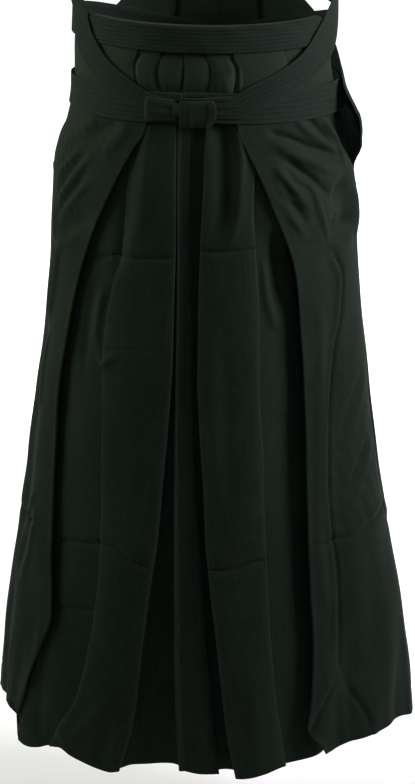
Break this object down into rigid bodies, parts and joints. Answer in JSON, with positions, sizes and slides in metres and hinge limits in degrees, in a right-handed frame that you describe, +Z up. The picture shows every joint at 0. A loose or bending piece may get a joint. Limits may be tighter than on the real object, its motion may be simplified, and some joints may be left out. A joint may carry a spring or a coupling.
{
  "type": "hakama trousers",
  "caption": "Pleated divided trousers filled out as worn: wide open legs, slit sides, a waistband, a stiff back board, and flat ties knotted at the front.",
  "frame": {"origin": "centre of the waist opening, 4 mm below the top edge of the front band", "axes": "+Z up towards the wearer's head, front with the knot facing -Y, lengths hang down -Z. Left and right in names are as seen from the front: left is -X and right is +X"},
  "size_m": [0.5311, 0.3855, 0.9865],
  "materials": {
    "panel_cloth": "matt fine twill, greenish black",
    "band_cloth": "matt fine twill, folded and stitched in rows",
    "board_cloth": "matt fine twill over a stiff board, stitched round its edge"
  },
  "bodies": {
    "root": {"front_left_side_panel": "panel_cloth", "front_left_centre_panel": "panel_cloth", "front_right_centre_panel": "panel_cloth", "front_right_side_panel": "panel_cloth", "back_left_panel": "panel_cloth", "back_right_panel": "panel_cloth", "crotch_gusset": "panel_cloth", "side_turning_left": "panel_cloth", "side_turning_right": "panel_cloth", "front_waistband": "band_cloth", "back_waistband": "band_cloth", "front_tie_left": "band_cloth", "front_tie_right": "band_cloth", "back_tie_left": "band_cloth", "back_tie_right": "band_cloth", "knot_wrap": "band_cloth", "knot_fold": "band_cloth", "knot_tuck": "band_cloth", "back_board": "board_cloth"}
  },
  "joints": []
}
